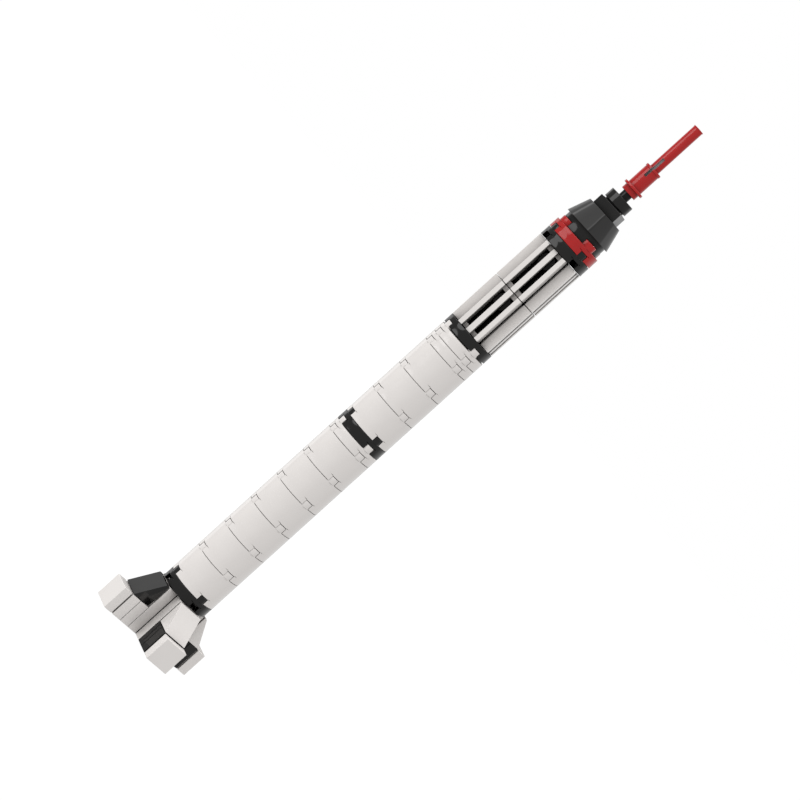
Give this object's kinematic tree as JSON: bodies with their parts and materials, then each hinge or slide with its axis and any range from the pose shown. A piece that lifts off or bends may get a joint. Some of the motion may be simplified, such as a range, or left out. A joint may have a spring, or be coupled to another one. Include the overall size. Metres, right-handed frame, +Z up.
{
  "type": "toy model rocket",
  "caption": "Slim display rocket of stackable moulded pieces: four stepped fins, banded white tank, grille-sided adapter, black cone and thin red escape tower.",
  "frame": {"origin": "on the rocket's axis, at the surface that the fins stand on", "axes": "+Z up the rocket's axis to the tip of the escape tower; the four fins lie along +X, +Y, -X and -Y, and everything above them is turned an eighth of a turn about Z"},
  "size_m": [0.0336, 0.0336, 0.2033],
  "materials": {
    "white_plastic": "gloss moulded plastic",
    "black_plastic": "gloss moulded plastic",
    "red_plastic": "gloss moulded plastic"
  },
  "bodies": {
    "fin_unit": {"fin_core_lower_plate": "black_plastic", "fin_core_upper_plate": "black_plastic", "fin_core_stud_brick": "black_plastic", "right_fin_root_plate": "white_plastic", "right_fin_inner_plate": "black_plastic", "right_fin_outer_plate": "black_plastic", "right_fin_end_tile": "white_plastic", "right_fin_slope": "white_plastic", "rear_fin_root_plate": "white_plastic", "rear_fin_inner_plate": "white_plastic", "rear_fin_outer_plate": "white_plastic", "rear_fin_end_tile": "white_plastic", "rear_fin_slope": "black_plastic", "left_fin_root_plate": "white_plastic", "left_fin_inner_plate": "white_plastic", "left_fin_outer_plate": "white_plastic", "left_fin_end_tile": "white_plastic", "left_fin_slope": "black_plastic", "front_fin_root_plate": "white_plastic", "front_fin_inner_plate": "black_plastic", "front_fin_outer_plate": "black_plastic", "front_fin_end_tile": "white_plastic", "front_fin_slope": "white_plastic"},
    "booster": {"tail_ring_plate": "black_plastic", "tank_brick_1": "white_plastic", "tank_brick_2": "white_plastic", "tank_brick_3": "white_plastic", "tank_brick_4": "white_plastic", "tank_brick_5": "white_plastic", "tank_brick_6": "white_plastic", "lower_tank_cap_plate": "white_plastic", "middle_band_plate": "black_plastic", "tank_brick_7": "white_plastic", "tank_brick_8": "white_plastic", "tank_brick_9": "white_plastic", "upper_tank_cap_plate": "white_plastic", "shoulder_plate": "white_plastic", "jumper_plate": "black_plastic"},
    "adapter": {"adapter_core_1_lower_plate": "black_plastic", "adapter_core_1_upper_plate": "black_plastic", "adapter_core_1_stud_brick": "black_plastic", "starboard_grille_1": "white_plastic", "back_grille_1": "white_plastic", "port_grille_1": "white_plastic", "face_grille_1": "white_plastic", "adapter_core_2_lower_plate": "black_plastic", "adapter_core_2_upper_plate": "black_plastic", "adapter_core_2_stud_brick": "black_plastic", "starboard_grille_2": "white_plastic", "back_grille_2": "white_plastic", "port_grille_2": "white_plastic", "face_grille_2": "white_plastic"},
    "capsule": {"capsule_base_plate": "black_plastic", "capsule_red_plate": "red_plastic", "capsule_cone": "black_plastic"},
    "nose": {"nose_plate": "black_plastic"},
    "post": {"post_tile": "black_plastic"},
    "tower": {"escape_tower": "red_plastic"}
  },
  "joints": [
    {"name": "booster_turn", "type": "hinge", "parent": "fin_unit", "child": "booster", "pos_m": [0, 0, 0.016], "axis": [0, 0, 1], "continuous": true},
    {"name": "adapter_turn", "type": "hinge", "parent": "booster", "child": "adapter", "pos_m": [0, 0, 0.12162], "axis": [0, 0, 1], "continuous": true},
    {"name": "capsule_turn", "type": "hinge", "parent": "adapter", "child": "capsule", "pos_m": [0, 0, 0.15363], "axis": [0, 0, 1], "continuous": true},
    {"name": "nose_turn", "type": "hinge", "parent": "capsule", "child": "nose", "pos_m": [0, 0, 0.16964], "axis": [0, 0, 1], "continuous": true},
    {"name": "post_turn", "type": "hinge", "parent": "nose", "child": "post", "pos_m": [0, 0, 0.17285], "axis": [0, 0, 1], "continuous": true},
    {"name": "tower_lift", "type": "slide", "parent": "post", "child": "tower", "axis": [0, 0, 1], "range_m": [0, 0.01]}
  ]
}
